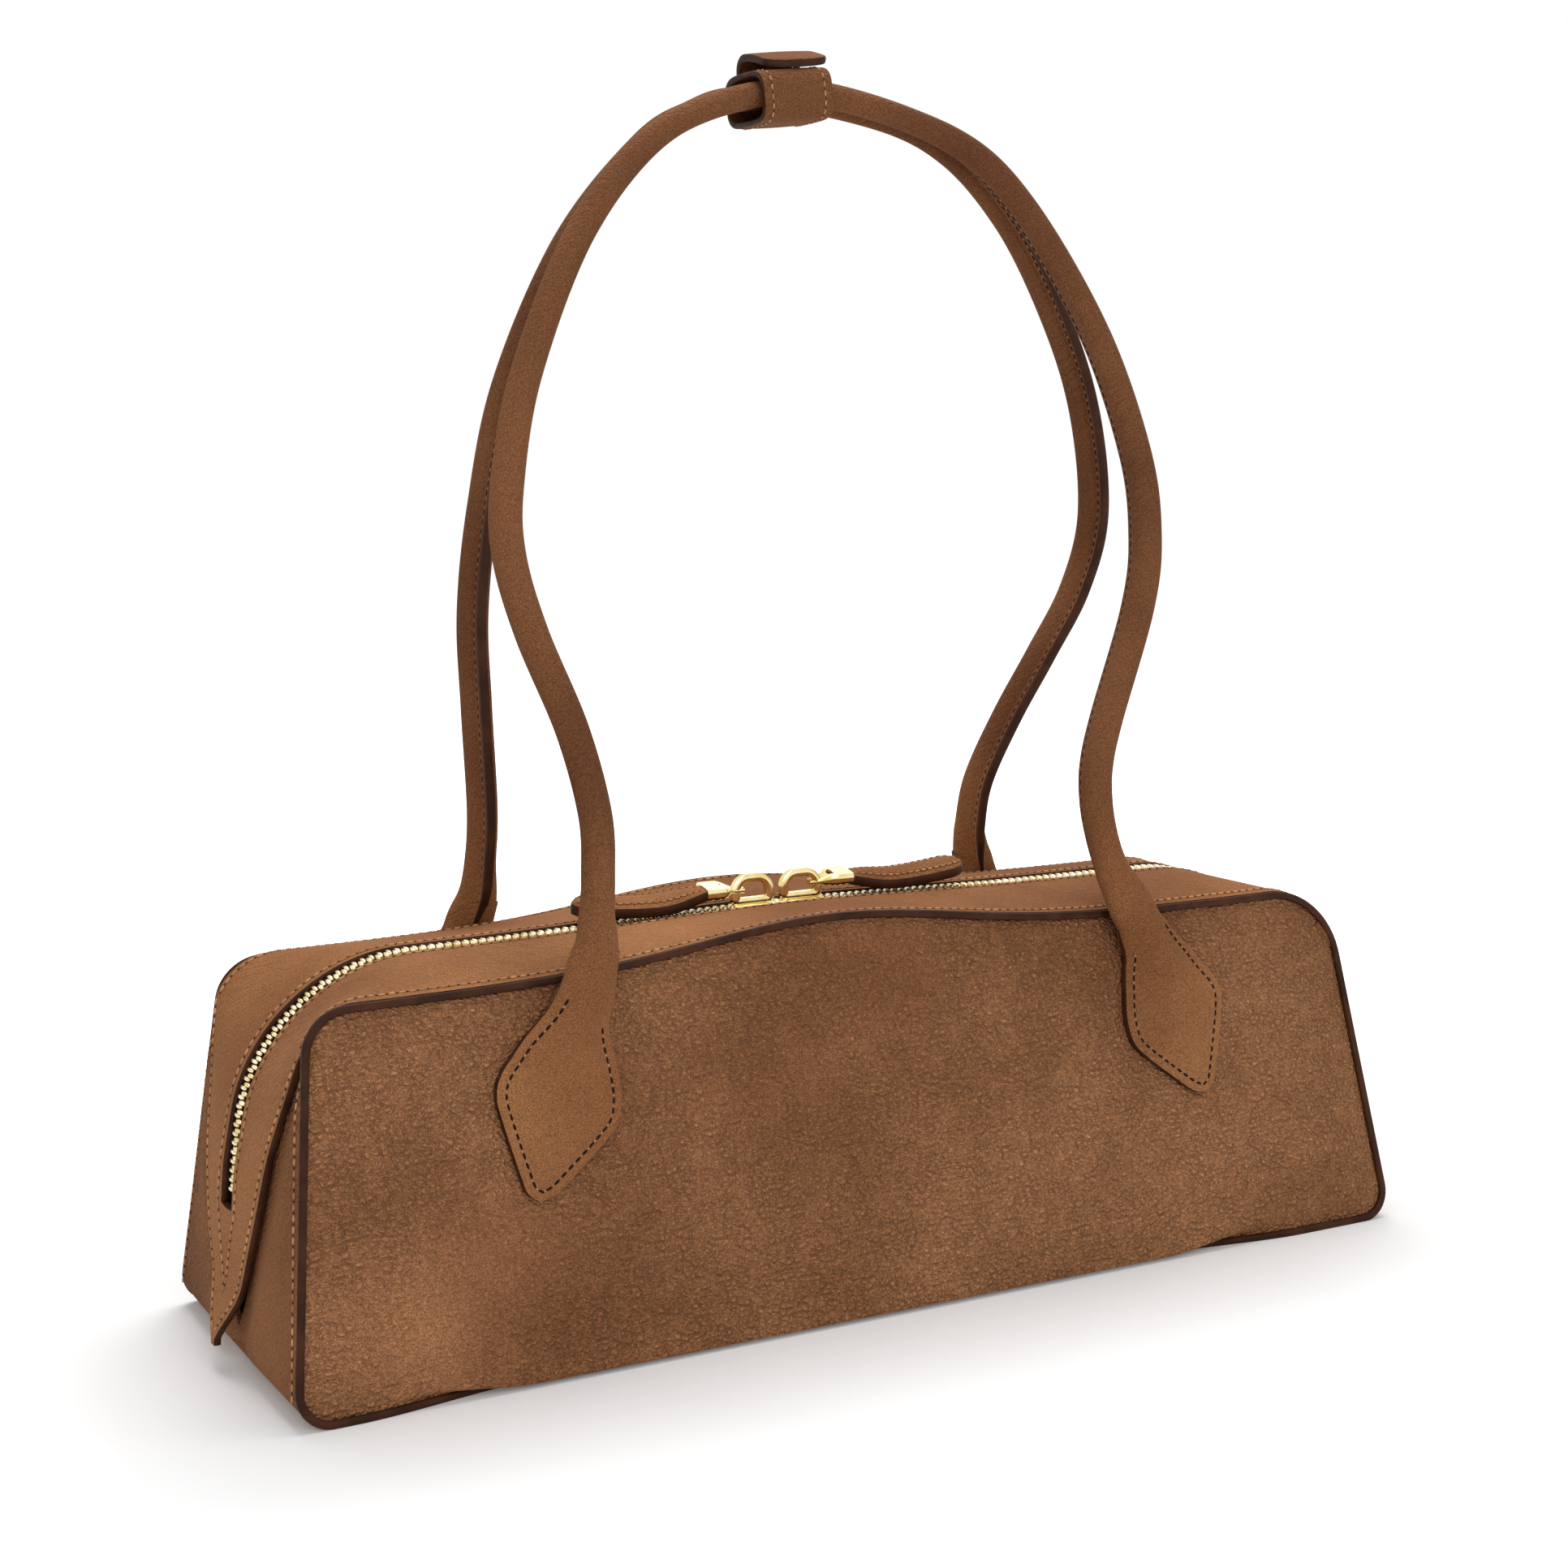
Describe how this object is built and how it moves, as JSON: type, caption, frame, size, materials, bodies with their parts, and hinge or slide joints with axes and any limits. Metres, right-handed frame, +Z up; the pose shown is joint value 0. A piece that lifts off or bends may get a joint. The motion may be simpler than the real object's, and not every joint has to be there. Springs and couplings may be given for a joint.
{
  "type": "baguette bag",
  "caption": "Long soft leather baguette shoulder bag with a zip over the top and down both ends, rolled handles on kite-shaped tabs, and a snap keeper that holds the handles together.",
  "frame": {"origin": "on the floor under the middle of the bag's base", "axes": "+X along the bag to its right end seen from the front, front face towards -Y, +Z up"},
  "size_m": [0.3378, 0.112, 0.3383],
  "materials": {
    "body_leather": "brown nubuck, soft matte with a fine pebbled grain",
    "handle_leather": "brown nubuck rolled over a cord, painted dark edges",
    "trim_leather": "brown nubuck doubled and stitched, painted dark edges",
    "lining": "woven cotton lining",
    "base_board": "plain stiffening board",
    "zip_tape": "dark woven zip tape",
    "zip_metal": "polished pale gold",
    "gold_metal": "polished pale gold",
    "handle_core": "twisted cotton filler cord"
  },
  "bodies": {
    "bag": {"base_panel": "body_leather", "base_board": "base_board", "base_lining": "lining", "back_panel": "body_leather", "back_lining": "lining", "back_left_gusset": "body_leather", "back_right_gusset": "body_leather", "back_zip_band": "body_leather", "back_zip_tape": "zip_tape", "back_zip_teeth": "zip_metal", "back_zip_stops": "zip_metal", "back_left_handle_tab": "body_leather", "back_right_handle_tab": "body_leather"},
    "front_side": {"front_panel": "body_leather", "front_lining": "lining", "front_left_gusset": "body_leather", "front_right_gusset": "body_leather", "front_zip_band": "body_leather", "front_zip_tape": "zip_tape", "front_zip_teeth": "zip_metal", "front_zip_stops": "zip_metal", "front_left_handle_tab": "body_leather", "front_right_handle_tab": "body_leather"},
    "front_handle": {"front_handle_roll": "handle_leather", "front_handle_core": "handle_core"},
    "back_handle": {"back_handle_roll": "handle_leather", "back_handle_core": "handle_core"},
    "keeper": {"keeper_loop": "trim_leather", "snap_stud": "gold_metal"},
    "keeper_flap": {"keeper_flap": "trim_leather", "snap_cap": "gold_metal"},
    "left_slider": {"left_slider_body": "gold_metal", "left_slider_bail": "gold_metal"},
    "left_pull": {"left_pull_clip": "gold_metal", "left_pull_tab": "trim_leather"},
    "right_slider": {"right_slider_body": "gold_metal", "right_slider_bail": "gold_metal"},
    "right_pull": {"right_pull_clip": "gold_metal", "right_pull_tab": "trim_leather"}
  },
  "joints": [
    {"name": "mouth_open", "type": "hinge", "parent": "bag", "child": "front_side", "pos_m": [0, -0.056, 0.0019], "axis": [1, 0, 0], "range_deg": [0, 18], "deforming": ["front_zip_tape", "front_zip_teeth"]},
    {"name": "left_slider_travel", "type": "hinge", "parent": "bag", "child": "left_slider", "pos_m": [0, 0, -1.29318], "axis": [0, -1, 0], "range_deg": [0, 4.17]},
    {"name": "right_slider_travel", "type": "hinge", "parent": "bag", "child": "right_slider", "pos_m": [0, 0, -1.29318], "axis": [0, 1, 0], "range_deg": [0, 4.87]},
    {"name": "left_pull_swing", "type": "hinge", "parent": "left_slider", "child": "left_pull", "pos_m": [-0.01979, 0, 0.11046], "axis": [0, 1, 0], "range_deg": [0, 95]},
    {"name": "right_pull_swing", "type": "hinge", "parent": "right_slider", "child": "right_pull", "pos_m": [0.00275, 0, 0.1106], "axis": [0, -1, 0], "range_deg": [0, 95]},
    {"name": "front_handle_swing", "type": "hinge", "parent": "front_side", "child": "front_handle", "pos_m": [0, -0.04383, 0.1], "axis": [1, 0, 0], "range_deg": [0, 105], "deforming": ["keeper_loop"]},
    {"name": "back_handle_swing", "type": "hinge", "parent": "bag", "child": "back_handle", "pos_m": [0, 0.04383, 0.1], "axis": [-1, 0, 0], "range_deg": [0, 105]},
    {"name": "keeper_slide", "type": "slide", "parent": "back_handle", "child": "keeper", "axis": [1, 0, 0], "range_m": [-0.008, 0.008]},
    {"name": "keeper_flap_open", "type": "hinge", "parent": "keeper", "child": "keeper_flap", "pos_m": [0, 0.0116, 0.3365], "axis": [-1, 0, 0], "range_deg": [0, 110]}
  ],
  "couplings": [
    {"joint": "left_slider_travel", "follows": "mouth_open", "ratio": 0.23186},
    {"joint": "right_slider_travel", "follows": "mouth_open", "ratio": 0.27051}
  ]
}
